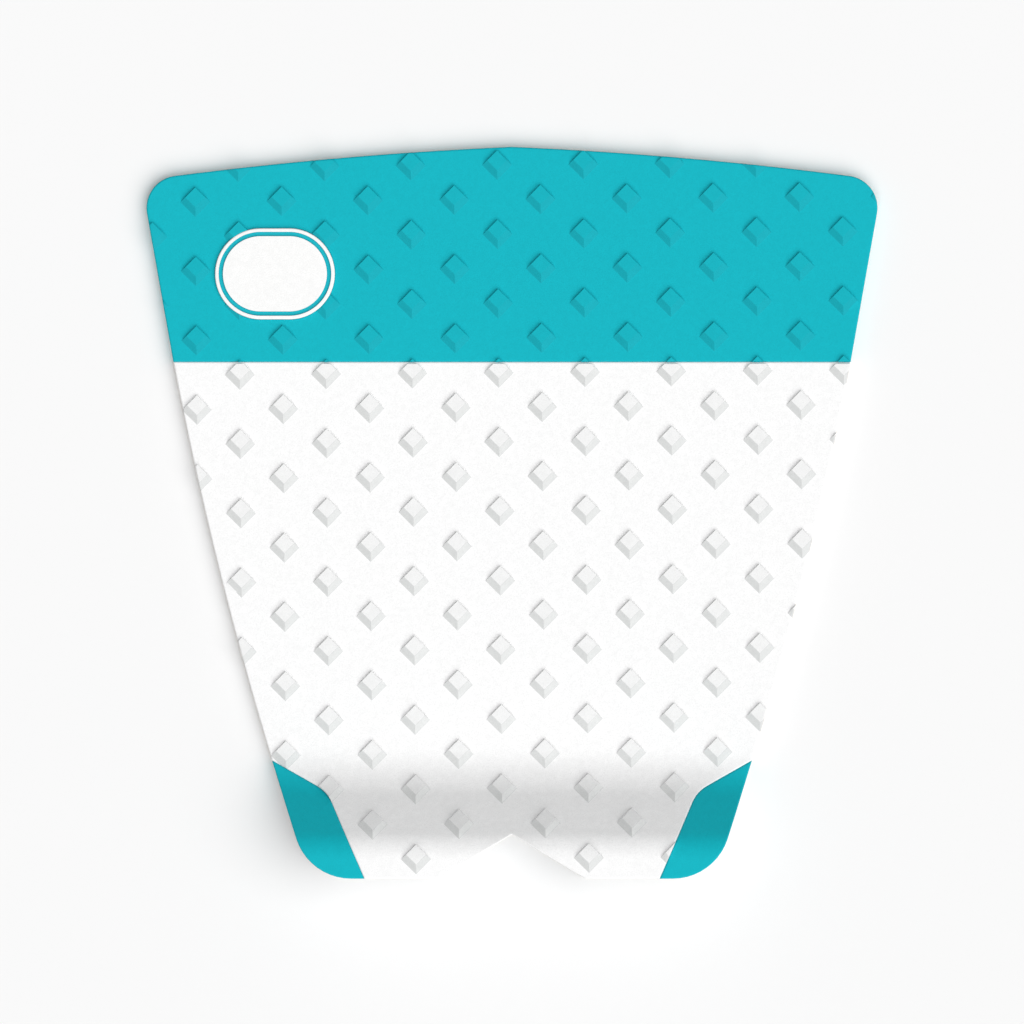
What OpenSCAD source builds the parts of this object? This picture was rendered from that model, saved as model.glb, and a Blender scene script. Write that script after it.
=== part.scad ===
// Deck traction pad with a kick tail: a two-tone foam sheet with raised diamond studs,
// glued over a laminated foam kick, with adhesive film and a peel-off liner below.
// It lies flat with its underside at z = 0, its nose towards +Y and its kick towards -Y.

/* [Outline] */
// Width across the shoulders, the widest place
pad_w = 305; // [300:1:315]
// Length from the nose to the tail edge
pad_l = 305; // [302:1:312]
// How far the widest place lies ahead of the pad's centre
shoulder_y = 127; // [122:0.5:130]
// Radius of the two shoulders
shoulder_r = 13.5; // [8:0.5:16]
// Fall of the nose edge where it meets a shoulder, in degrees
nose_fall = 7.6; // [5:0.1:10]
// Bow of each half of the nose edge away from a straight line
nose_bow = 1.5; // [0:0.1:3]
// Width where the front and main panels meet
seam_w = 282.6; // [276:0.2:288]
// How far the seam lies ahead of the pad's centre
seam_y = 62.8; // [55:0.2:70]
// Width where the sides meet the tail corners
tail_w = 179.6; // [174:0.2:186]
// Lean of the sides where they meet the tail corners, in degrees
tail_lean = 18.2; // [16:0.1:20]
// Bow of each side behind the seam away from a straight line
side_bow = 3.3; // [0:0.1:4]
// Radius of the two tail corners
tail_r = 24; // [16:0.5:26]
// Width of the tail notch at its mouth
notch_w = 61; // [40:1:70]
// Depth of the tail notch
notch_depth = 18.4; // [10:0.2:22]

/* [Tail corner panels] */
// Distance from the tail edge to the forward tip of a corner panel
corner_l = 48.8; // [44:0.2:52]
// Distance from the centreline to the inner foot of a corner panel
corner_foot_x = 61.5; // [56:0.5:64]
// The bend in a corner panel's inner edge: distance from the centreline
bend_x = 77.1; // [74:0.1:80]
// The bend in a corner panel's inner edge: distance from the tail edge
bend_l = 36; // [33:0.1:38]
// Length of the rounding on each side of that bend
bend_round = 4.9; // [2:0.1:8]

/* [Layers] */
// Thickness of the release liner
liner_t = 0.2; // [0.1:0.05:0.3]
// Width of the slit between the liner's two halves
slit_w = 0.6; // [0.5:0.1:1]
// Thickness of the adhesive film
film_t = 0.3; // [0.2:0.05:0.5]
// Thickness of the foam sheet
sheet_t = 5; // [4:0.5:6]

/* [Kick] */
// Distance from the tail edge to the foot of the kick
kick_l = 53.5; // [52:0.5:58]
// Height that the kick rises above the flat sheet
kick_rise = 27; // [22:0.5:30]
// Steepest slope of the kick, in degrees
kick_angle = 44; // [40:1:46]
// Radius of the hollow at the kick's foot
foot_r = 27.3; // [22:0.1:28]
// Radius of the kick's crest
crest_r = 15.7; // [12:0.1:16]
// Number of foam layers in the kick's core
core_layers = 3; // [3:1:3]

/* [Studs] */
// Width of a stud's diamond footprint from point to point
stud_w = 12.3; // [8:0.1:14]
// Width of its flat top from point to point
stud_top_w = 8.4; // [5:0.1:8.4]
// Height of a stud
stud_h = 1.5; // [0.8:0.1:2]
// Distance between studs along a row
stud_pitch_x = 36; // [30:0.5:40]
// Distance between studs along a column
stud_pitch_y = 28.9; // [26:0.1:34]
// Turn of the whole stud grid, in degrees
stud_turn = 0.45; // [-2:0.05:2]
// Bare strip beside the seam, on the main panel
seam_strip = 0.8; // [0:0.1:3]

/* [Badge] */
// Length of the inlaid badge
badge_l = 50; // [40:1:54]
// Width of the inlaid badge
badge_w = 38; // [30:1:40]
// Distance of the badge's centre to the left of the centreline
badge_x = 98.9; // [90:0.1:102]
// Distance of the badge's centre ahead of the pad's centre
badge_y = 99.5; // [94:0.1:104]
// Depth of the recess that holds it
badge_recess = 2.5; // [1:0.1:3]
// Width of the groove around the badge's face
badge_groove = 1.6; // [1:0.1:3]

/* [Hidden] */

teal = [0.07, 0.73, 0.78];
core_grey = [0.9, 0.91, 0.92];
film_tint = [0.93, 0.9, 0.78];
liner_tan = [0.86, 0.78, 0.62];

half_l = pad_l / 2;
film_z = liner_t;
foam_z = film_z + film_t;
sheet_z = foam_z + sheet_t;
overall_h = sheet_z + kick_rise + stud_h;
far = pad_l;

shoulder = [pad_w / 2 - shoulder_r, shoulder_y];
seam_end = [seam_w / 2, seam_y];
tail_corner = [tail_w / 2 - tail_r * cos(tail_lean), tail_r - half_l];
tail_start = tail_corner + tail_r * [cos(tail_lean), -sin(tail_lean)];

kick_y = kick_l - half_l;
foot_run = foot_r * sin(kick_angle);
crest_run = crest_r * sin(kick_angle);
foot_rise = foot_r * (1 - cos(kick_angle));
crest_fall = crest_r * (1 - cos(kick_angle));
slope_run = (kick_rise - foot_rise - crest_fall) / tan(kick_angle);
kick_run = foot_run + slope_run + crest_run;
arc_step = kick_angle / 8;
// The core's thin front edge is trimmed off where it is this thick.
core_edge_t = 0.6;
core_y = kick_y - (foot_r + sheet_t) * sin(acos(1 - core_edge_t / (foot_r + sheet_t)));
layer_h = kick_rise / core_layers;

stud_origin = [-5.1, 0.4];
// How deep a stud's root is sunk into the sheet.
stud_root = 0.5;
stud_rows = 11;
stud_columns = 5;

// ---- Outline ----

// Points from p towards q, bowed to the left of the way there; q itself is left out.
function bowed(p, q, bow, n) =
    let (way = q - p, side = [-way.y, way.x] / norm(way))
    [for (i = [0 : n - 1]) let (t = i / n) p + t * way + 4 * bow * t * (1 - t) * side];

// Points of an arc about c, both ends included.
function arc(c, r, from, to, n) =
    [for (i = [0 : n]) let (a = from + (to - from) * i / n) c + r * [cos(a), sin(a)]];

// Points of a smooth bend from p to q, pulled towards the corner b.
function bend(p, b, q, n) =
    [for (i = [0 : n]) let (t = i / n) (1 - t) * (1 - t) * p + 2 * t * (1 - t) * b + t * t * q];

// Angle at which a line from p touches the circle about c, on its right-hand side.
function touch_angle(c, r, p) = atan2(p.y - c.y, p.x - c.x) + acos(r / norm(p - c));

function mirrored(points) = [for (i = [len(points) - 1 : -1 : 0]) [-points[i].x, points[i].y]];

shoulder_top = shoulder + shoulder_r * [sin(nose_fall), cos(nose_fall)];
right_side = concat(
    bowed([0, half_l], shoulder_top, nose_bow, 14),
    arc(shoulder, shoulder_r, 90 - nose_fall, touch_angle(shoulder, shoulder_r, seam_end), 12),
    bowed(seam_end, tail_start, side_bow, 18),
    arc(tail_corner, tail_r, -tail_lean, -90, 10),
    [[notch_w / 2, -half_l], [0, notch_depth - half_l]]);
left_side = mirrored([for (i = [1 : len(right_side) - 2]) right_side[i]]);

module outline() {
    polygon(concat(right_side, left_side));
}

// Everything between two distances along Y, wider than the pad.
module band(y0, y1) {
    translate([-far, y0]) square([2 * far, y1 - y0]);
}

function half_w(y) = lookup(y, [
    [-half_l, tail_corner.x], [tail_start.y, tail_w / 2], [seam_y, seam_w / 2],
    [shoulder_y, pad_w / 2], [half_l, pad_w / 2]]);

bend_at = [bend_x, bend_l - half_l];
corner_tip = [half_w(corner_l - half_l) + side_bow / 2, corner_l - half_l];
corner_foot = [corner_foot_x, -half_l];
to_tip = (corner_tip - bend_at) / norm(corner_tip - bend_at);
to_foot = (corner_foot - bend_at) / norm(corner_foot - bend_at);
corner_edge = concat(
    [bend_at + far * to_tip],
    bend(bend_at + bend_round * to_tip, bend_at, bend_at + bend_round * to_foot, 6),
    [bend_at + far * to_foot]);

// Everything outboard of the right corner panel's inner edge.
module corner_side() {
    polygon(concat(corner_edge, [[far, -2 * far], [2 * far, -far]]));
}

module main_plan() {
    difference() {
        intersection() {
            outline();
            band(-far, seam_y);
        }
        corner_side();
        mirror([1, 0]) corner_side();
    }
}

// ---- Side profile: the sheet's surface along its length ----

// The surface's height above the flat, s behind the kick's foot.
function rise(s) =
    s <= 0 ? 0
    : s < foot_run ? foot_r - sqrt(foot_r * foot_r - s * s)
    : s < foot_run + slope_run ? foot_rise + (s - foot_run) * tan(kick_angle)
    : s < kick_run ? kick_rise - crest_r + sqrt(crest_r * crest_r - pow(kick_run - s, 2))
    : kick_rise;

function slope(s) =
    s <= 0 ? 0
    : s < foot_run ? asin(s / foot_r)
    : s < foot_run + slope_run ? kick_angle
    : s < kick_run ? asin((kick_run - s) / crest_r)
    : 0;

// Points (y, z) of the kick's surface, moved depth d into the foam, from foot to tail.
function kick_line(d) = concat(
    [for (a = [0 : arc_step : kick_angle])
        [kick_y - (foot_r + d) * sin(a), sheet_z + foot_r - (foot_r + d) * cos(a)]],
    [for (a = [kick_angle : -arc_step : 0])
        [kick_y - kick_run + (crest_r - d) * sin(a),
         sheet_z + kick_rise - crest_r + (crest_r - d) * cos(a)]],
    [[-far, sheet_z + kick_rise - d]]);

function reversed(points) = [for (i = [len(points) - 1 : -1 : 0]) points[i]];

// A side profile in (y, z), stretched across the pad's whole width.
module across(points) {
    rotate([90, 0, 90]) translate([0, 0, -far]) linear_extrude(2 * far) polygon(points);
}

module sheet_profile() {
    across(concat([[far, foam_z], [far, sheet_z]], kick_line(0), reversed(kick_line(sheet_t))));
}

module core_profile() {
    intersection() {
        across(concat(kick_line(sheet_t), [[-far, foam_z - 1], [kick_y, foam_z - 1]]));
        translate([-far, -2 * far, foam_z]) cube([2 * far, 2 * far + core_y, far]);
    }
}

// ---- Studs ----

// The diamond outline of a stud at height h above the sheet; its two forward edges stand upright.
function stud_ring(h) =
    let (half = (stud_w + (stud_top_w - stud_w) * h / stud_h) / 2, tip = stud_w / 2)
    [[-half, tip - half], [0, tip - 2 * half], [half, tip - half], [0, tip]];

function turned(p) = [
    p.x * cos(stud_turn) - p.y * sin(stud_turn),
    p.x * sin(stud_turn) + p.y * cos(stud_turn)];

// A point that stands h off the sheet, above the place p in plan.
function on_sheet(p, h) = [p.x, p.y, sheet_z + rise(kick_y - p.y) + h / cos(slope(kick_y - p.y))];

module stud(centre) {
    points = [for (h = [-stud_root, stud_h]) for (p = stud_ring(h)) on_sheet(centre + turned(p), h)];
    sides = [for (i = [0 : 3]) let (j = (i + 1) % 4) each [[i, i + 4, j + 4], [i, j + 4, j]]];
    polyhedron(points, concat([[0, 1, 2], [0, 2, 3], [7, 6, 4], [6, 5, 4]], sides));
}

function stud_centre(row, column) =
    stud_origin + turned([(column + abs(row % 2) / 2) * stud_pitch_x, row * stud_pitch_y / 2]);

// The studs whose footprints reach between y0 and y1.
module studs(y0, y1) {
    for (row = [-stud_rows : stud_rows]) {
        for (column = [-stud_columns : stud_columns]) {
            c = stud_centre(row, column);
            near = c.y > y0 - stud_w / 2 && c.y < y1 + stud_w / 2;
            if (near && abs(c.x) < half_w(c.y) + stud_w) stud(c);
        }
    }
}

// ---- Foam panels ----

module badge_plan(inset) {
    r = badge_w / 2 - inset;
    reach = (badge_l - badge_w) / 2;
    translate([-badge_x, badge_y]) {
        square([2 * reach, 2 * r], center = true);
        for (side = [-1, 1]) translate([side * reach, 0]) circle(r, $fn = 64);
    }
}

module front_panel() {
    color(teal) difference() {
        intersection() {
            union() {
                translate([-far, seam_y, foam_z]) cube([2 * far, far, sheet_t]);
                studs(seam_y, half_l);
            }
            linear_extrude(overall_h) intersection() {
                outline();
                band(seam_y, far);
            }
        }
        translate([0, 0, sheet_z - badge_recess]) linear_extrude(overall_h) badge_plan(0);
    }
}

module main_panel() {
    color("white") union() {
        intersection() {
            sheet_profile();
            linear_extrude(overall_h) main_plan();
        }
        intersection() {
            studs(-half_l, seam_y);
            linear_extrude(overall_h + 1) intersection() {
                main_plan();
                band(-far, seam_y - seam_strip);
            }
        }
    }
}

module right_corner() {
    intersection() {
        sheet_profile();
        linear_extrude(overall_h) intersection() {
            outline();
            corner_side();
        }
    }
}

module left_corner_panel() {
    color(teal) mirror([1, 0, 0]) right_corner();
}

module right_corner_panel() {
    color(teal) right_corner();
}

// A white foam inlay that stands as high as the studs, with a plain groove near its rim.
module badge() {
    color("white") difference() {
        translate([0, 0, sheet_z - badge_recess]) linear_extrude(badge_recess + stud_h) badge_plan(0);
        translate([0, 0, sheet_z + stud_h / 2]) linear_extrude(stud_h) difference() {
            badge_plan(badge_groove);
            badge_plan(2 * badge_groove);
        }
    }
}

// ---- Kick core ----

module core_layer(level) {
    color(core_grey) intersection() {
        core_profile();
        translate([-far, -far, foam_z + level * layer_h]) cube([2 * far, 2 * far, layer_h]);
        linear_extrude(overall_h) outline();
    }
}

module kick_core_upper() {
    core_layer(2);
}

module kick_core_middle() {
    core_layer(1);
}

module kick_core_lower() {
    core_layer(0);
}

// ---- Adhesive film and release liner ----

module film(y0, y1) {
    color(film_tint) translate([0, 0, film_z]) linear_extrude(film_t) intersection() {
        outline();
        band(y0, y1);
    }
}

module front_adhesive() {
    film(seam_y, far);
}

module main_adhesive() {
    film(core_y, seam_y);
}

module kick_adhesive() {
    film(-far, core_y);
}

module right_liner() {
    color(liner_tan) linear_extrude(liner_t) intersection() {
        outline();
        translate([slit_w / 2, -far]) square([far, 2 * far]);
    }
}

module left_liner() {
    mirror([1, 0, 0]) right_liner();
}

front_panel();
main_panel();
left_corner_panel();
right_corner_panel();
badge();
kick_core_upper();
kick_core_middle();
kick_core_lower();
front_adhesive();
main_adhesive();
kick_adhesive();
left_liner();
right_liner();
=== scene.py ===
"""Looks of a deck traction pad with a kick tail: a two-tone foam sheet with raised diamond studs,
a laminated foam kick, adhesive film below and a release liner in two halves.

The plan of every piece is the outline of its CAD node, or of the film under it. Heights come
from the side profile below. Lengths are in millimetres until a mesh is made."""
import math

import bpy
import numpy as np
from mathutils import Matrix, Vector
from mathutils.geometry import delaunay_2d_cdt


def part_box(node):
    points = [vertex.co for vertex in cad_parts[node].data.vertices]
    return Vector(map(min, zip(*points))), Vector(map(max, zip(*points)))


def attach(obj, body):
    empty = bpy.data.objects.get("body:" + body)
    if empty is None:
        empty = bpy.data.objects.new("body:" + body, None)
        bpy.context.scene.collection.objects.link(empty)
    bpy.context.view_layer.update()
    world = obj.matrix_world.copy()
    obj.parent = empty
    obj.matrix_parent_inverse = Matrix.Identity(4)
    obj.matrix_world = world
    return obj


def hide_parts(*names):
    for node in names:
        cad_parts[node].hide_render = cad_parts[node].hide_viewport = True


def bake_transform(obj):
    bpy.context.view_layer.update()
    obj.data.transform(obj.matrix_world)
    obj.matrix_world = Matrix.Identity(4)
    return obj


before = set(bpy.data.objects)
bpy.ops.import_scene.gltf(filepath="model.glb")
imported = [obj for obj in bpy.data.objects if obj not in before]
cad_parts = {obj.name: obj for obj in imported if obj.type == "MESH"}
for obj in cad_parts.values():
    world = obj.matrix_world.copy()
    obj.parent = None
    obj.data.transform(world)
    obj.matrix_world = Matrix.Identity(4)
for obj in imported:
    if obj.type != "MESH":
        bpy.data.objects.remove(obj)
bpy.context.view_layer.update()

MM = 0.001

# ---- Sizes, in millimetres ----

SHEET_T = 5.0
FILM_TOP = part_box("front_adhesive")[1].z / MM
SHEET_Z = FILM_TOP + SHEET_T
TAIL_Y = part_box("main_panel")[0].y / MM
SEAM_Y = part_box("main_panel")[1].y / MM
KICK_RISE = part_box("right_corner_panel")[1].z / MM - SHEET_Z

KICK_LENGTH = 53.5
KICK_Y = TAIL_Y + KICK_LENGTH
KICK_ANGLE = math.radians(44)
FOOT_R = 27.3
CREST_R = 15.7
CORE_LAYERS = ("lower", "middle", "upper")
LAYER_H = KICK_RISE / len(CORE_LAYERS)

STUD_W = 12.3
STUD_TOP_W = 8.4
STUD_H = 1.5
STUD_PITCH = (36.0, 28.9)
STUD_TURN = math.radians(0.45)
STUD_ORIGIN = (-5.1, 0.4)
# Rows and columns either side of the origin, enough to cover the pad.
STUD_ROWS = 12
STUD_COLUMNS = 6
# Widths along the seam and the tail edge that carry no stud, and of the step beside the seam.
SEAM_STRIP = 0.8
TAIL_STRIP = 0.8
SEAM_STEP = 0.06

# The badge's recess, and its groove, whose start and end are measured in from its outline.
BADGE_RECESS = 2.5
GROOVE_START = 1.6
GROOVE_END = 3.2
GROOVE_DEPTH = 0.75
GROOVE_WALL = 0.2

# Radii of rounded upper edges, and the least thickness at a feathered edge.
EDGE_R = 0.7
LAYER_EDGE_R = 0.45
LEAST_T = 0.15

# The mesh: lengths of sides, the distance at which points merge, how near to a level counts as
# on it, and the angle in degrees past which an edge is sharp.
OUTLINE_STEP = 0.9
LINER_STEP = 2.5
MERGE = 0.006
NEAR_FLAT = 0.03
SHARP_ANGLE = 32


# ---- Side profile ----

SIN, COS, TAN = math.sin(KICK_ANGLE), math.cos(KICK_ANGLE), math.tan(KICK_ANGLE)
SLOPE_RUN = (KICK_RISE - (FOOT_R + CREST_R) * (1 - COS)) / TAN
KICK_RUN = (FOOT_R + CREST_R) * SIN + SLOPE_RUN


def kick_surface(y, depth=0.0):
    """Height above the flat sheet's top of the surface that lies that deep in the foam."""
    s = KICK_Y - np.asarray(y, float)
    foot, crest = FOOT_R + depth, CREST_R - depth
    on_foot = FOOT_R - np.sqrt(np.maximum(foot**2 - s**2, 0))
    foot_end = FOOT_R - foot * COS
    on_slope = foot_end + (s - foot * SIN) * TAN
    on_crest = KICK_RISE - CREST_R + np.sqrt(np.maximum(crest**2 - (KICK_RUN - s) ** 2, 0))
    places = [s <= 0, s < foot * SIN, s < KICK_RUN - crest * SIN, s < KICK_RUN]
    return np.select(places, [-depth, on_foot, on_slope, on_crest], KICK_RISE - depth)


def kick_slope(y):
    """Tangent of the sheet's slope."""
    little = 0.01
    return (kick_surface(y - little) - kick_surface(y + little)) / (2 * little)


def sheet_top(xy):
    return SHEET_Z + kick_surface(xy[:, 1])


def sheet_underside(xy):
    return SHEET_Z + kick_surface(xy[:, 1], SHEET_T)


# ---- Studs ----

# A stud is a square that stands on its corner: STUD_W and STUD_TOP_W are across its corners,
# these two along its sides.
STUD_HALF = STUD_W / 2 / math.sqrt(2)
SLOPE_W = (STUD_W - STUD_TOP_W) / math.sqrt(2)

# Its two tail-side faces slope and its two nose-side faces stand up. Both profiles give the
# height at a distance in from the footprint's side, with their creases rounded.
WALL_R = 0.14
CREASE = 0.28
BENDS = np.array([-1, -0.36, 0.36, 1]) * CREASE
SLOPE_T = np.concatenate([[-2.2 * CREASE], BENDS, SLOPE_W + BENDS])
RISE = (BENDS + CREASE) ** 2 / (4 * CREASE) * STUD_H / SLOPE_W
SLOPE_HEIGHT = np.concatenate([[0], RISE, STUD_H - RISE[::-1]])
TURNS = np.radians([0, 22, 45, 68, 90])
WALL_T = np.concatenate([[-0.4, -0.06, -0.03, -0.015], WALL_R * (1 - np.cos(TURNS))])
WALL_HEIGHT = np.concatenate([[0, 0, 0.02, 0.08], STUD_H - WALL_R * (1 - np.sin(TURNS))])

# Where the mesh lines of a stud run, from its middle, and the widest gap on the kick's curve.
STUD_LINES = np.sort(np.concatenate([SLOPE_T - STUD_HALF, STUD_HALF - WALL_T]))
CURVED_STEP = 0.9


def turned(p):
    c, s = math.cos(STUD_TURN), math.sin(STUD_TURN)
    return np.stack([p[..., 0] * c - p[..., 1] * s, p[..., 0] * s + p[..., 1] * c], -1)


def unturned(p):
    c, s = math.cos(STUD_TURN), math.sin(STUD_TURN)
    return np.stack([p[..., 0] * c + p[..., 1] * s, -p[..., 0] * s + p[..., 1] * c], -1)


def stud_centres(low, high):
    """Centres of the studs that may reach into a box in plan."""
    row_numbers = np.arange(-STUD_ROWS, STUD_ROWS + 1)
    column_numbers = np.arange(-STUD_COLUMNS, STUD_COLUMNS + 1)
    row, column = np.meshgrid(row_numbers, column_numbers, indexing="ij")
    grid = np.stack([(column + (row % 2) / 2) * STUD_PITCH[0], row * STUD_PITCH[1] / 2], -1)
    centres = (np.array(STUD_ORIGIN) + turned(grid)).reshape(-1, 2)
    near = (centres > np.array(low) - STUD_W).all(1) & (centres < np.array(high) + STUD_W).all(1)
    return centres[near]


def stud_profiles(xy):
    """Heights at which the nearest stud's slopes and its upright walls pass over each point,
    measured square to the sheet. The stud's own height is the lower of the two."""
    p = unturned(xy - np.array(STUD_ORIGIN))
    row = np.round(p[:, 1] / (STUD_PITCH[1] / 2))
    slope, wall = np.zeros(len(p)), np.zeros(len(p))
    for step in (-1, 0, 1):
        r = row + step
        shift = (r % 2) / 2
        column = np.round(p[:, 0] / STUD_PITCH[0] - shift)
        u = p[:, 0] - (column + shift) * STUD_PITCH[0]
        v = p[:, 1] - r * STUD_PITCH[1] / 2
        across = np.stack([u + v, v - u]) / math.sqrt(2)
        here = np.interp(across + STUD_HALF, SLOPE_T, SLOPE_HEIGHT).min(0)
        upright = np.interp(STUD_HALF - across, WALL_T, WALL_HEIGHT).min(0)
        higher = np.minimum(here, upright) > np.minimum(slope, wall)
        slope, wall = np.where(higher, here, slope), np.where(higher, upright, wall)
    return slope, wall


def stud_height(xy):
    return np.minimum(*stud_profiles(xy))


def stud_block(centre, curved):
    """Mesh points of one stud, as a grid along its own sides, with more lines where the sheet
    under it is curved."""
    lines = STUD_LINES
    if curved:
        wide = [(a, b) for a, b in zip(lines, lines[1:]) if b - a > 1]
        more = [np.linspace(a, b, int((b - a) / CURVED_STEP) + 2)[1:-1] for a, b in wide]
        lines = np.sort(np.concatenate([lines, *more]))
    a, b = np.meshgrid(lines, lines, indexing="ij")
    uv = np.stack([(a - b) / math.sqrt(2), (a + b) / math.sqrt(2)], -1)
    return centre + turned(uv)


# ---- Plans ----

def plan_of(node):
    """The outline of a CAD node's underside in plan, in order, without points on straight runs."""
    facing_down, straight = -0.1, 1e-4
    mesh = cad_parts[node].data
    keys = [tuple(round(c / MM, 3) for c in v.co) for v in mesh.vertices]
    rims = {}
    for face in mesh.polygons:
        if face.normal.z > facing_down:
            continue
        ring = [keys[i] for i in face.vertices]
        for a, b in zip(ring, ring[1:] + ring[:1]):
            if (b, a) in rims:
                del rims[(b, a)]
            elif a != b:
                rims[(a, b)] = True
    after = {a: b for a, b in rims}
    start = here = min(after)
    loop = []
    while True:
        loop.append(here[:2])
        here = after[here]
        if here == start:
            break
    points = np.array(loop)
    before, following = np.roll(points, 1, 0), np.roll(points, -1, 0)
    d0, d1 = points - before, following - points
    turn = np.abs(d0[:, 0] * d1[:, 1] - d0[:, 1] * d1[:, 0])
    lengths = np.linalg.norm(d0, axis=1) * np.linalg.norm(d1, axis=1)
    points = points[turn > straight * lengths]
    return points if area_of(points) > 0 else points[::-1]


def area_of(points):
    x, y = points[:, 0], points[:, 1]
    return 0.5 * np.sum(x * np.roll(y, -1) - y * np.roll(x, -1))


def dense(points, step):
    """The same closed outline with no side longer than step."""
    out = []
    for p, q in zip(points, np.roll(points, -1, 0)):
        n = max(1, math.ceil(np.linalg.norm(q - p) / step))
        out.extend(p + (q - p) * i / n for i in range(n))
    return np.array(out)


def inset(points, distance):
    """A closed outline moved inwards."""
    sharpest = 0.35
    ahead = np.roll(points, -1, 0) - points
    normals = np.stack([-ahead[:, 1], ahead[:, 0]], -1) / np.linalg.norm(ahead, axis=1)[:, None]
    both = normals + np.roll(normals, 1, 0)
    both /= np.linalg.norm(both, axis=1)[:, None]
    lean = np.maximum(np.sum(both * normals, 1), sharpest)
    return points + both * (distance / lean)[:, None]


def inside(xy, outline):
    """Which points lie inside a closed outline."""
    result = np.zeros(len(xy), bool)
    x, y = xy[:, 0], xy[:, 1]
    for (x0, y0), (x1, y1) in zip(outline, np.roll(outline, -1, 0)):
        if y0 != y1:
            crosses = (y0 > y) != (y1 > y)
            result ^= crosses & (x < x0 + (y - y0) * (x1 - x0) / (y1 - y0))
    return result


def distance_to(xy, outline):
    """Distance from each point to a closed outline."""
    best = np.full(len(xy), np.inf)
    for p, q in zip(outline, np.roll(outline, -1, 0)):
        way = q - p
        t = np.clip(((xy - p) @ way) / (way @ way), 0, 1)
        best = np.minimum(best, np.linalg.norm(xy - p - t[:, None] * way, axis=1))
    return best


# ---- Slabs: closed pieces with a plan, a top and an underside ----

# How near a stud's middle comes to a line before its whole grid is kept in the mesh, and how far
# the loose points keep from the outline and from a stud.
NEAR_LINE = STUD_W / 2 + 1
OUTLINE_GAP = 1.2
STUD_GAP = STUD_W / 2 + 1.4


def triangulate(points, edges, rim_count):
    """Triangles inside the first rim_count edges, which close on themselves, with all the other
    edges kept. Returns the points, the triangles and the new number of each given point."""
    made = delaunay_2d_cdt([Vector(p) for p in points], edges, [], 0, MERGE)
    xy = np.array([v[:] for v in made[0]])
    rim = {frozenset(e) for e, given in zip(made[1], made[4]) if given and min(given) < rim_count}
    beside = {}
    for number, (a, b, c) in enumerate(made[2]):
        for edge in (frozenset((a, b)), frozenset((b, c)), frozenset((c, a))):
            beside.setdefault(edge, []).append(number)
    outside = [found[0] for edge, found in beside.items() if len(found) == 1 and edge not in rim]
    dropped = set(outside)
    while outside:
        a, b, c = made[2][outside.pop()]
        for edge in (frozenset((a, b)), frozenset((b, c)), frozenset((c, a))):
            if edge not in rim:
                fresh = [n for n in beside[edge] if n not in dropped]
                dropped.update(fresh)
                outside.extend(fresh)
    kept = [t for number, t in enumerate(made[2]) if number not in dropped]
    renamed = np.full(len(points), -1)
    for new, given in enumerate(made[3]):
        renamed[list(given)] = new
    return xy, kept, renamed


def closed_edges(start, count):
    return [(start + i, start + (i + 1) % count) for i in range(count)]


def rim_of(triangles):
    """The edges that have one triangle, each in that triangle's direction."""
    sides = [side for a, b, c in triangles for side in ((a, b), (b, c), (c, a))]
    found = set(sides)
    return [(a, b) for a, b in sides if (b, a) not in found]


def slab(name, plan, top, underside, edge_r,
         blocks=(), loose=None, rings=(), step=OUTLINE_STEP, tone=None):
    """A closed mesh over a plan, with its upper edge rounded. blocks are stud grids, loose are
    more points, rings are further closed lines for the top, and tone gives each upper face's
    share of the material's second colour: painted shade on the studs, the teal layer in the
    badge's groove."""
    outline = dense(plan, step)
    points, edges = [], []

    def add_ring(ring):
        edges.extend(closed_edges(len(points), len(ring)))
        points.extend(ring)

    add_ring(outline)
    for turn in TURNS[1:] if edge_r else ():
        add_ring(inset(outline, edge_r * (1 - math.cos(turn))))
    for ring in rings:
        add_ring(ring)
    stud_middles = []
    for block in blocks:
        flat = block.reshape(-1, 2)
        if not inside(flat, outline).any():
            continue
        middle = flat.mean(0)
        stud_middles.append(middle)
        number = len(points) + np.arange(len(flat)).reshape(block.shape[:2])
        points.extend(flat)
        runs = [(number[:-1, :-1].diagonal(), number[1:, 1:].diagonal())]
        if min(distance_to(middle[None], line)[0] for line in (plan, *rings)) < NEAR_LINE:
            runs += [(number[:-1], number[1:]), (number[:, :-1], number[:, 1:])]
        for a, b in runs:
            edges.extend(zip(a.ravel().tolist(), b.ravel().tolist()))
    free = np.zeros((0, 2))
    if loose is not None:
        keep = inside(loose, plan) & (distance_to(loose, plan) > max(OUTLINE_GAP, edge_r))
        for middle in stud_middles:
            keep &= np.abs(unturned(loose - middle)).sum(1) > STUD_GAP
        free = loose[keep]
    points.extend(free)

    xy, triangles, _ = triangulate(points, edges, len(outline))
    fall = np.clip(edge_r - distance_to(xy, outline), 0, edge_r)
    z = top(xy) - (edge_r - np.sqrt(edge_r**2 - fall**2))
    z = np.maximum(z, underside(xy) + LEAST_T)

    rim = rim_of(triangles)
    start = {a: i for i, (a, b) in enumerate(rim)}
    below = [xy[a] for a, b in rim] + list(free)
    rim_edges = [(i, start[b]) for i, (a, b) in enumerate(rim)]
    low_xy, low_triangles, low = triangulate(below, rim_edges, len(rim_edges))
    low += len(xy)
    upper = np.column_stack([xy, z])
    lower = np.column_stack([low_xy, underside(low_xy)])
    verts = np.concatenate([upper, lower])
    faces = list(triangles)
    faces += [[b + len(xy), a + len(xy), c + len(xy)] for a, b, c in low_triangles]
    faces += [[b, a, low[i], low[start[b]]] for i, (a, b) in enumerate(rim)]
    obj = mesh_object(name, verts, faces)
    if tone:
        values = np.zeros(len(faces))
        values[: len(triangles)] = tone(xy[np.array(triangles)].mean(1))
        obj.data.attributes.new("tone", "FLOAT", "FACE").data.foreach_set("value", values)
    return obj


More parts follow.
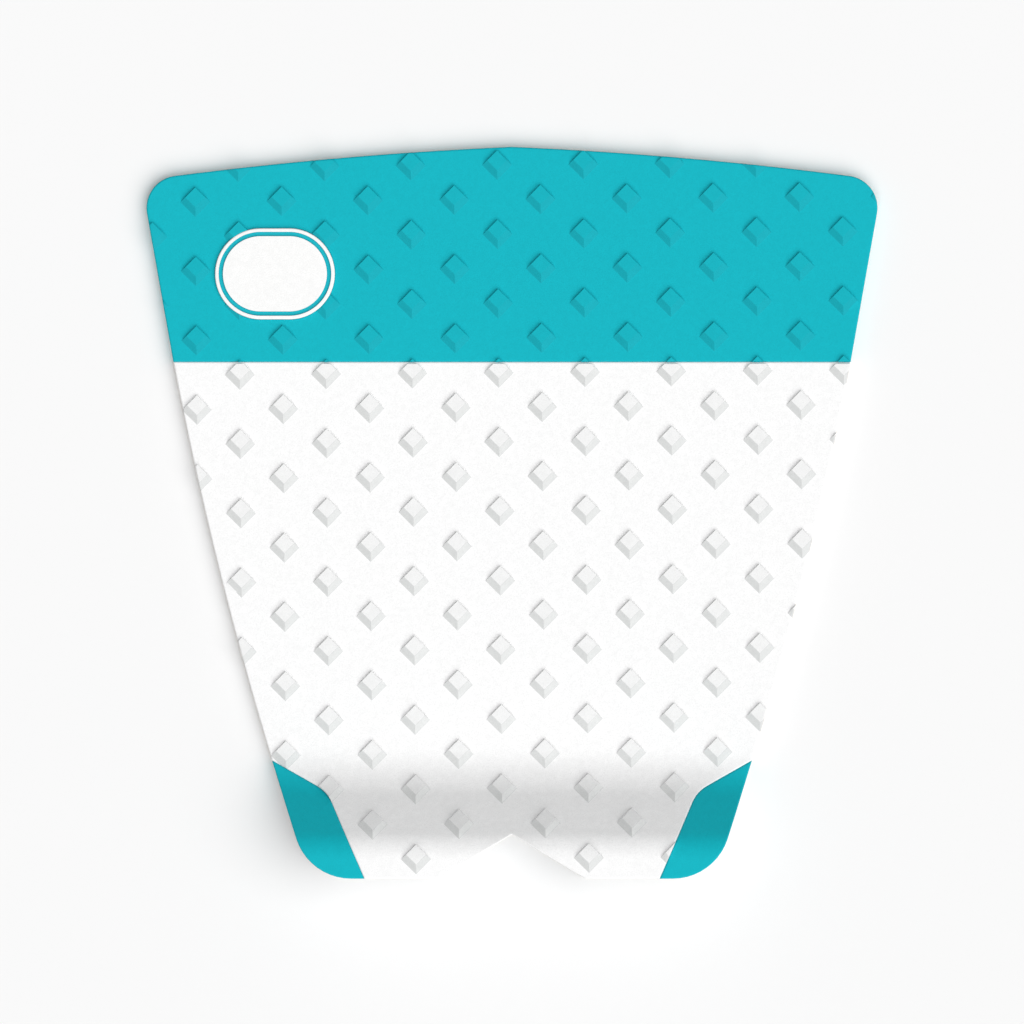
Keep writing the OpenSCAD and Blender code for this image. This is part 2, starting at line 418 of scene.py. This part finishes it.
def mesh_object(name, verts, faces):
    """An object of the points that the faces use."""
    used = sorted({i for face in faces for i in face})
    renamed = {old: new for new, old in enumerate(used)}
    renamed_faces = [[renamed[i] for i in face] for face in faces]
    mesh = bpy.data.meshes.new(name)
    mesh.from_pydata((verts[used] * MM).tolist(), [], renamed_faces)
    mesh.shade_smooth()
    obj = bpy.data.objects.new(name, mesh)
    bpy.context.scene.collection.objects.link(obj)
    return obj


def soften(obj):
    """Smooth shading that keeps flats flat and breaks at sharp edges."""
    obj.data.set_sharp_from_angle(angle=math.radians(SHARP_ANGLE))
    weighted = obj.modifiers.new("weighted", "WEIGHTED_NORMAL")
    weighted.keep_sharp = True


def rows(y0, y1, dy, x0, x1, dx):
    """Points in rows across the pad."""
    ys = np.arange(y0, y1, dy)
    xs = np.arange(x0, x1, dx)
    return np.stack(np.meshgrid(xs, ys), -1).reshape(-1, 2)


# ---- Materials ----

def new_material(name):
    material = bpy.data.materials.new(name)
    material.use_nodes = True
    tree = material.node_tree
    shader = tree.nodes["Principled BSDF"]
    return material, tree, shader


def node(tree, kind, **settings):
    made = tree.nodes.new(kind)
    for key, value in settings.items():
        if key in made.inputs:
            made.inputs[key].default_value = value
        else:
            setattr(made, key, value)
    return made


def mix_colours(tree, factor, a, b):
    """A colour mix; factor is a socket, a and b are sockets or colours."""
    mix = tree.nodes.new("ShaderNodeMix")
    mix.data_type = "RGBA"
    tree.links.new(factor, mix.inputs[0])
    for socket, value in ((mix.inputs[6], a), (mix.inputs[7], b)):
        if isinstance(value, tuple):
            socket.default_value = (*value, 1)
        else:
            tree.links.new(value, socket)
    return mix.outputs[2]


def ramp(tree, source, low, high):
    """Maps a value from low..high to 0..1."""
    found = node(tree, "ShaderNodeMapRange", clamp=True)
    found.inputs["From Min"].default_value = low
    found.inputs["From Max"].default_value = high
    tree.links.new(source, found.inputs["Value"])
    return found.outputs["Result"]


def foam(name, colour, second=None, roughness=0.75):
    """Closed-cell foam: fine cells, a faint mottle, and a coarser grain where it is die-cut, with
    the cells' hollows drawn darker as painted shade. A second colour takes over by each face's
    tone;
    on the studs that is painted shade, on the badge its teal layer."""
    material, tree, shader = new_material(name)
    place = node(tree, "ShaderNodeTexCoord").outputs["Object"]
    cells = node(tree, "ShaderNodeTexVoronoi", Scale=2200.0)
    coarse = node(tree, "ShaderNodeTexVoronoi", Scale=1500.0)
    mottle = node(tree, "ShaderNodeTexNoise", Scale=380.0, Detail=5.0)
    grain = node(tree, "ShaderNodeTexNoise", Scale=1500.0, Detail=3.0)
    for texture in (cells, coarse, mottle, grain):
        tree.links.new(place, texture.inputs["Vector"])
    facing = node(tree, "ShaderNodeSeparateXYZ")
    tree.links.new(node(tree, "ShaderNodeNewGeometry").outputs["True Normal"], facing.inputs[0])
    side = node(tree, "ShaderNodeMath", operation="ABSOLUTE")
    tree.links.new(facing.outputs["Z"], side.inputs[0])
    cut = ramp(tree, side.outputs[0], 0.35, 0.05)
    # Each face's tone: on the studs a share of painted shade, on the badge its teal layer.
    tone = node(tree, "ShaderNodeAttribute", attribute_name="tone").outputs["Fac"]
    base = mix_colours(tree, tone, colour, second or colour)
    shade = node(tree, "ShaderNodeHueSaturation", Value=0.9)
    deep = node(tree, "ShaderNodeHueSaturation", Value=0.84)
    for darker in (shade, deep):
        tree.links.new(base, darker.inputs["Color"])
    shade, deep = shade.outputs[0], deep.outputs[0]
    patchy = mix_colours(tree, ramp(tree, mottle.outputs["Fac"], 0.35, 1.0), base, shade)
    # Painted shade: the cells' hollows in the bump are drawn darker.
    pits = mix_colours(tree, ramp(tree, cells.outputs["Distance"], 0.35, 0.95), patchy, shade)
    fine = mix_colours(tree, ramp(tree, grain.outputs["Fac"], 0.64, 0.74), pits, shade)
    # Painted shade: on a die-cut face the open cells' hollows in the bump take the deeper colour.
    edge = mix_colours(tree, ramp(tree, coarse.outputs["Distance"], 0.3, 0.8), base, deep)
    tree.links.new(mix_colours(tree, cut, fine, edge), shader.inputs["Base Color"])
    height = node(tree, "ShaderNodeMix", data_type="FLOAT")
    tree.links.new(cut, height.inputs[0])
    tree.links.new(cells.outputs["Distance"], height.inputs[2])
    tree.links.new(coarse.outputs["Distance"], height.inputs[3])
    bump = node(tree, "ShaderNodeBump", Strength=0.3, Distance=0.0001, invert=True)
    tree.links.new(height.outputs[0], bump.inputs["Height"])
    tree.links.new(bump.outputs["Normal"], shader.inputs["Normal"])
    shader.inputs["Roughness"].default_value = roughness
    shader.inputs["Specular IOR Level"].default_value = 0.12
    return material


def film_material():
    """Tacky adhesive film: glossy, faintly amber, with small flow ripples."""
    material, tree, shader = new_material("adhesive_film")
    place = node(tree, "ShaderNodeTexCoord").outputs["Object"]
    ripple = node(tree, "ShaderNodeTexNoise", Scale=140.0, Detail=3.0)
    haze = node(tree, "ShaderNodeTexNoise", Scale=22.0, Detail=5.0)
    for texture in (ripple, haze):
        tree.links.new(place, texture.inputs["Vector"])
    patches = ramp(tree, haze.outputs["Fac"], 0.35, 0.65)
    colour = mix_colours(tree, patches, (0.82, 0.79, 0.67), (0.8, 0.765, 0.635))
    tree.links.new(colour, shader.inputs["Base Color"])
    bump = node(tree, "ShaderNodeBump", Strength=0.25, Distance=0.0001)
    tree.links.new(ripple.outputs["Fac"], bump.inputs["Height"])
    tree.links.new(bump.outputs["Normal"], shader.inputs["Normal"])
    tree.links.new(ramp(tree, haze.outputs["Fac"], -0.6, 3.5), shader.inputs["Roughness"])
    return material


def liner_material():
    """Coated kraft paper: long faint fibres on a satin tan."""
    material, tree, shader = new_material("coated_paper")
    place = node(tree, "ShaderNodeTexCoord").outputs["Object"]
    stretch = node(tree, "ShaderNodeMapping")
    stretch.inputs["Scale"].default_value = (1.0, 0.16, 1.0)
    tree.links.new(place, stretch.inputs["Vector"])
    fibres = node(tree, "ShaderNodeTexNoise", Scale=900.0, Detail=6.0, Roughness=0.7)
    clouds = node(tree, "ShaderNodeTexNoise", Scale=120.0, Detail=6.0)
    tree.links.new(stretch.outputs["Vector"], fibres.inputs["Vector"])
    tree.links.new(place, clouds.inputs["Vector"])
    patches = ramp(tree, clouds.outputs["Fac"], 0.35, 0.65)
    base = mix_colours(tree, patches, (0.72, 0.56, 0.36), (0.68, 0.52, 0.325))
    threads = ramp(tree, fibres.outputs["Fac"], 0.5, 0.75)
    colour = mix_colours(tree, threads, base, (0.54, 0.39, 0.22))
    tree.links.new(colour, shader.inputs["Base Color"])
    bump = node(tree, "ShaderNodeBump", Strength=0.2, Distance=0.00005)
    tree.links.new(fibres.outputs["Fac"], bump.inputs["Height"])
    tree.links.new(bump.outputs["Normal"], shader.inputs["Normal"])
    shader.inputs["Roughness"].default_value = 0.42
    return material


TEAL_COLOUR = (0.0045, 0.455, 0.535)
# The teal and the white foam's second colours are darker copies of their colours, painted shade on
# the studs' slopes and tops.
TEAL = foam("foam_teal", TEAL_COLOUR, (0.007, 0.39, 0.46))
WHITE = foam("foam_white", (0.93, 0.93, 0.93), (0.69, 0.7, 0.695))
CORE = foam("foam_core", (0.6, 0.61, 0.615), roughness=0.8)
BADGE = foam("badge_skin", (0.92, 0.92, 0.915), TEAL_COLOUR, roughness=0.5)
FILM = film_material()
PAPER = liner_material()


def finish_foam(obj, material, node_name):
    """Shading and material of a foam piece, which rides with the pad and hides its CAD part."""
    soften(obj)
    obj.data.materials.append(material)
    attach(obj, "pad")
    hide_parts(node_name)


# ---- Foam panels ----

# The share of painted shade, in the material's darker second colour, on a stud's top. Its slopes
# have all of it.
TOP_PAINTED_SHADE = 0.28


def kick_points(plan):
    """Points that carry the kick's curve, over the part of a plan that reaches it."""
    start, beyond, row_step, point_step = 0.6, 3.0, 1.1, 3.5
    low, high = plan.min(0), plan.max(0)
    end = min(high[1], KICK_Y + beyond)
    return rows(low[1] + start, end, row_step, low[0], high[0], point_step)


def stud_blocks(plan):
    low, high = plan.min(0), plan.max(0)
    return [stud_block(c, c[1] < KICK_Y + STUD_W / 2) for c in stud_centres(low, high)]


def raised(xy, allowed):
    """The sheet's top with its studs where they are allowed."""
    upright = np.sqrt(1 + kick_slope(xy[:, 1]) ** 2)
    return sheet_top(xy) + stud_height(xy) * upright * allowed


def stud_painted_shade(xy):
    """The share of painted shade, in the darker second colour: all on a stud's slopes, some on its
    top, none elsewhere.
    """
    slack = 0.01
    slope, wall = stud_profiles(xy)
    on_slope = (slope > NEAR_FLAT) & (slope < STUD_H - NEAR_FLAT) & (slope <= wall + slack)
    on_top = (slope >= STUD_H - NEAR_FLAT) & (wall >= STUD_H - NEAR_FLAT)
    return np.where(on_slope, 1.0, np.where(on_top, TOP_PAINTED_SHADE, 0.0))


def make_main_panel():
    """The sheet behind the seam. Two lines across it hold the step where its studs stop."""
    plan = plan_of("main_panel")
    strip_y = SEAM_Y - SEAM_STRIP
    step_y = strip_y - SEAM_STEP
    half = abs(plan[:, 0]).max() + 1
    corners = np.array([[-half, strip_y], [half, strip_y], [half, step_y], [-half, step_y]])
    seam_lines = dense(corners, 1.0)

    def allowed(xy):
        before_seam = np.clip((strip_y - xy[:, 1]) / SEAM_STEP, 0, 1)
        return before_seam * (xy[:, 1] > TAIL_Y + TAIL_STRIP)

    def top(xy):
        return raised(xy, allowed(xy))

    # Painted shade on the studs, in the white foam's darker second colour.
    def tone(xy):
        return stud_painted_shade(xy) * allowed(xy)

    obj = slab("main_panel_foam", plan, top, sheet_underside, EDGE_R,
               blocks=stud_blocks(plan), loose=kick_points(plan), rings=[seam_lines], tone=tone)
    finish_foam(obj, WHITE, "main_panel")


def make_front_panel():
    """The sheet in front of the seam, with a recess for the badge. The recess's wall is drawn a
    hair inside the badge's outline."""
    wall_start, wall_end, badge_step = 0.02, 0.05, 0.8
    plan = plan_of("front_adhesive")
    badge = dense(plan_of("badge"), badge_step)

    def top(xy):
        gap = distance_to(xy, badge)
        recessed = inside(xy, badge) & (gap > wall_start)
        fall = np.clip(LAYER_EDGE_R - gap, 0, LAYER_EDGE_R)
        rounded = LAYER_EDGE_R - np.sqrt(LAYER_EDGE_R**2 - fall**2)
        return np.where(recessed, SHEET_Z - BADGE_RECESS, raised(xy, 1.0) - rounded)

    def underside(xy):
        return np.full(len(xy), FILM_TOP)

    # Painted shade on the studs, in the teal foam's darker second colour; none on the badge.
    def tone(xy):
        return stud_painted_shade(xy) * ~inside(xy, badge)

    around = [inset(badge, -LAYER_EDGE_R * (1 - math.cos(t))) for t in TURNS]
    obj = slab("front_panel_foam", plan, top, underside, EDGE_R,
               blocks=stud_blocks(plan), rings=[inset(badge, wall_end), *around], tone=tone)
    finish_foam(obj, TEAL, "front_panel")


def make_corner_panel(side):
    """A smooth sheet that follows the kick."""
    plan = plan_of(f"{side}_corner_panel")
    obj = slab(f"{side}_corner_foam", plan, sheet_top, sheet_underside, EDGE_R,
               loose=kick_points(plan))
    finish_foam(obj, TEAL, f"{side}_corner_panel")


def make_badge():
    """A plain inlay with a groove round it, which shows the second colour."""
    tone_from = 0.3
    plan = plan_of("badge")

    def into_groove(xy):
        """0 outside the groove, 1 on its floor."""
        gap = distance_to(xy, plan)
        within = np.minimum(gap - GROOVE_START, GROOVE_END - gap)
        return np.clip(within / GROOVE_WALL + 0.5, 0, 1)

    def top(xy):
        return SHEET_Z + STUD_H - GROOVE_DEPTH * into_groove(xy)

    def tone(xy):
        return (into_groove(xy) > tone_from) * 1.0

    def underside(xy):
        return np.full(len(xy), SHEET_Z - BADGE_RECESS)

    half_wall = GROOVE_WALL / 2
    edges = [at + step for at in (GROOVE_START, GROOVE_END) for step in (-half_wall, half_wall)]
    rim = dense(plan, OUTLINE_STEP)
    obj = slab("badge_inlay", plan, top, underside, LAYER_EDGE_R,
               rings=[inset(rim, e) for e in edges], tone=tone)
    finish_foam(obj, BADGE, "badge")


# ---- Kick core ----

def make_core_layer(name, level):
    """One flat layer of the kick's core, cut to the sheet's underside at its front."""
    plan = plan_of(name)
    low = FILM_TOP + level * LAYER_H

    def top(xy):
        return np.minimum(low + LAYER_H, sheet_underside(xy))

    def underside(xy):
        return np.full(len(xy), low)

    obj = slab(f"{name}_foam", plan, top, underside, LAYER_EDGE_R, loose=kick_points(plan))
    finish_foam(obj, CORE, name)


# ---- Adhesive film and release liner ----

def make_liner(side):
    """One half of the liner, a flat sheet."""
    row_step = 8.0
    node_name = f"{side}_liner"
    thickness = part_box(node_name)[1].z / MM
    plan = plan_of(node_name)
    low, high = plan.min(0), plan.max(0)
    grid = rows(low[1] + 2, high[1], row_step, low[0] + 1, high[0], LINER_STEP)

    def top(xy):
        return np.full(len(xy), thickness)

    def underside(xy):
        return np.zeros(len(xy))

    obj = slab(f"{side}_liner_sheet", plan, top, underside, 0.0, loose=grid, step=LINER_STEP)
    soften(obj)
    obj.data.materials.append(PAPER)
    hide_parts(node_name)
    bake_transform(obj)


make_front_panel()
make_main_panel()
make_corner_panel("left")
make_corner_panel("right")
make_badge()
for level, layer in enumerate(CORE_LAYERS):
    make_core_layer(f"kick_core_{layer}", level)
make_liner("left")
make_liner("right")
for film_name in ("front_adhesive", "main_adhesive", "kick_adhesive"):
    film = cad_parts[film_name]
    film.data.materials.clear()
    film.data.materials.append(FILM)


# ---- Floor, light and camera, in metres ----

FLOOR_HALF = 14.0
FLOOR_Z = -0.00005
FLOOR_TONE = 0.86
FILL_LIGHT = 0.2
BACKDROP_LIGHT = 0.9
PICTURE_WIDTH = 0.4272
PICTURE_MIDDLE_Y = 0.00015
LENS = 1000.0
SENSOR = 36.0


def floor_material():
    """Pale and plain from above, and clear from below, so that the underside can be looked at."""
    material, tree, shader = new_material("floor_pale")
    shader.inputs["Base Color"].default_value = (FLOOR_TONE, FLOOR_TONE, FLOOR_TONE, 1)
    shader.inputs["Roughness"].default_value = 0.9
    shader.inputs["Specular IOR Level"].default_value = 0.1
    clear = node(tree, "ShaderNodeBsdfTransparent")
    mix = node(tree, "ShaderNodeMixShader")
    tree.links.new(node(tree, "ShaderNodeNewGeometry").outputs["Backfacing"], mix.inputs[0])
    tree.links.new(shader.outputs[0], mix.inputs[1])
    tree.links.new(clear.outputs[0], mix.inputs[2])
    tree.links.new(mix.outputs[0], tree.nodes["Material Output"].inputs["Surface"])
    return material


def make_floor():
    mesh = bpy.data.meshes.new("floor")
    signs = [(-1, -1), (1, -1), (1, 1), (-1, 1)]
    corners = [(x * FLOOR_HALF, y * FLOOR_HALF, FLOOR_Z) for x, y in signs]
    mesh.from_pydata(corners, [], [(0, 1, 2, 3)])
    mesh.materials.append(floor_material())
    floor = bpy.data.objects.new("floor", mesh)
    bpy.context.scene.collection.objects.link(floor)
    floor.visible_shadow = False


def sun(name, towards, strength, spread):
    """A soft distant light, spread degrees wide, that comes from where towards points."""
    light = bpy.data.lights.new(name, "SUN")
    light.energy = strength
    light.angle = math.radians(spread)
    obj = bpy.data.objects.new(name, light)
    obj.rotation_euler = Vector(towards).to_track_quat("Z", "Y").to_euler()
    bpy.context.scene.collection.objects.link(obj)


def make_world():
    """Even soft fill. Behind the floor the camera sees the same pale tone as the floor's."""
    world = bpy.data.worlds.new("world")
    world.use_nodes = True
    tree = world.node_tree
    fill = tree.nodes["Background"]
    fill.inputs["Color"].default_value = (1, 1, 1, 1)
    fill.inputs["Strength"].default_value = FILL_LIGHT
    seen = node(tree, "ShaderNodeBackground", Strength=BACKDROP_LIGHT)
    mix = node(tree, "ShaderNodeMixShader")
    tree.links.new(node(tree, "ShaderNodeLightPath").outputs["Is Camera Ray"], mix.inputs[0])
    tree.links.new(fill.outputs[0], mix.inputs[1])
    tree.links.new(seen.outputs[0], mix.inputs[2])
    tree.links.new(mix.outputs[0], tree.nodes["World Output"].inputs["Surface"])
    bpy.context.scene.world = world


def make_camera():
    """Straight down on the pad from far off, as wide as the picture shows."""
    camera = bpy.data.cameras.new("camera")
    camera.lens = LENS
    camera.sensor_width = SENSOR
    camera.clip_end = 50.0
    obj = bpy.data.objects.new("camera", camera)
    distance = PICTURE_WIDTH * LENS / SENSOR
    obj.location = (0, PICTURE_MIDDLE_Y, SHEET_Z * MM + distance)
    bpy.context.scene.collection.objects.link(obj)
    bpy.context.scene.camera = obj


make_floor()
sun("key", towards=(0.3, -0.3, 0.84), strength=3.2, spread=84)
sun("from_below", towards=(0.2, -0.4, -0.9), strength=1.8, spread=60)
make_world()
bpy.context.scene.view_settings.view_transform = "Standard"
make_camera()
